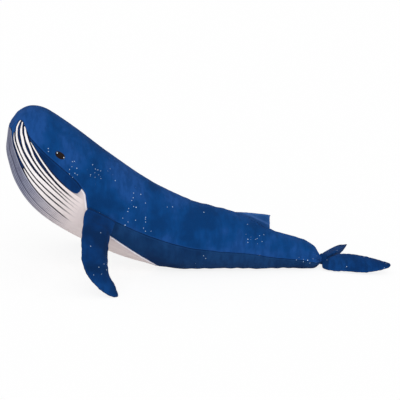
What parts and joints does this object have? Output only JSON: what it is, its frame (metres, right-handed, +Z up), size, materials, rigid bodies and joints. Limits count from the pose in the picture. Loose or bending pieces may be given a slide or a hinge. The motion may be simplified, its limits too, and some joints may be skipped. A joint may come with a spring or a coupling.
{
  "type": "plush whale",
  "caption": "Stuffed whale resting on its belly with its head raised, with curved flippers, a low dorsal fin, spread tail flukes and a pleated white throat.",
  "frame": {"origin": "on the floor, under the middle of the bounding box of the resting whale", "axes": "+Z up; the head points to -X and the flukes to +X; the left flipper is on the -Y side"},
  "size_m": [0.945, 0.5138, 0.3966],
  "materials": {
    "back_cloth": "short-pile plush, soft sheen, mottled blue",
    "belly_cloth": "short-pile plush, soft sheen, darker blue",
    "limb_cloth": "short-pile plush, soft sheen, navy",
    "throat_cloth": "printed short-pile plush, white with dark pleat lines",
    "eye_thread": "satin-stitched thread",
    "fibre_filling": "loose white polyester fibre"
  },
  "bodies": {
    "root": {"throat_panel": "throat_cloth", "back_panel_left": "back_cloth", "back_panel_right": "back_cloth", "belly_panel_left": "belly_cloth", "belly_panel_right": "belly_cloth", "eye_left": "eye_thread", "eye_right": "eye_thread", "head_filling": "fibre_filling", "trunk_filling": "fibre_filling", "tail_filling": "fibre_filling"},
    "flipper_left": {"flipper_left_outer_panel": "limb_cloth", "flipper_left_inner_panel": "limb_cloth", "flipper_left_filling": "fibre_filling"},
    "flipper_right": {"flipper_right_outer_panel": "limb_cloth", "flipper_right_inner_panel": "limb_cloth", "flipper_right_filling": "fibre_filling"},
    "dorsal_fin": {"dorsal_fin_left_panel": "limb_cloth", "dorsal_fin_right_panel": "limb_cloth"},
    "tail_neck": {"tail_neck": "limb_cloth"},
    "fluke_left": {"fluke_left_top_panel": "limb_cloth", "fluke_left_under_panel": "limb_cloth", "fluke_left_filling": "fibre_filling"},
    "fluke_right": {"fluke_right_top_panel": "limb_cloth", "fluke_right_under_panel": "limb_cloth", "fluke_right_filling": "fibre_filling"}
  },
  "joints": [
    {"name": "flipper_left_hinge", "type": "hinge", "parent": "root", "child": "flipper_left", "pos_m": [-0.24707, -0.10098, 0.15164], "axis": [-0.8758, -0.0477, 0.4803], "range_deg": [-30, 65]},
    {"name": "flipper_right_hinge", "type": "hinge", "parent": "root", "child": "flipper_right", "pos_m": [-0.24707, 0.10098, 0.15164], "axis": [0.8758, -0.0477, -0.4803], "range_deg": [-30, 65]},
    {"name": "dorsal_fin_fold", "type": "hinge", "parent": "root", "child": "dorsal_fin", "pos_m": [0.08566, 0, 0.14652], "axis": [0.899, 0, -0.438], "range_deg": [-70, 70], "stiffness_Nm_per_rad": 0.02},
    {"name": "tail_neck_turn", "type": "hinge", "parent": "root", "child": "tail_neck", "pos_m": [0.31091, 0, 0.02368], "axis": [0, 0, 1], "range_deg": [-50, 15]},
    {"name": "fluke_left_hinge", "type": "hinge", "parent": "tail_neck", "child": "fluke_left", "pos_m": [0.32435, -0.00489, 0.02368], "axis": [-0.2868, -0.7881, -0.5446], "range_deg": [-20, 50]},
    {"name": "fluke_right_hinge", "type": "hinge", "parent": "tail_neck", "child": "fluke_right", "pos_m": [0.31891, 0.01186, 0.02368], "axis": [0.6953, -0.469, 0.5446], "range_deg": [-20, 50]}
  ]
}
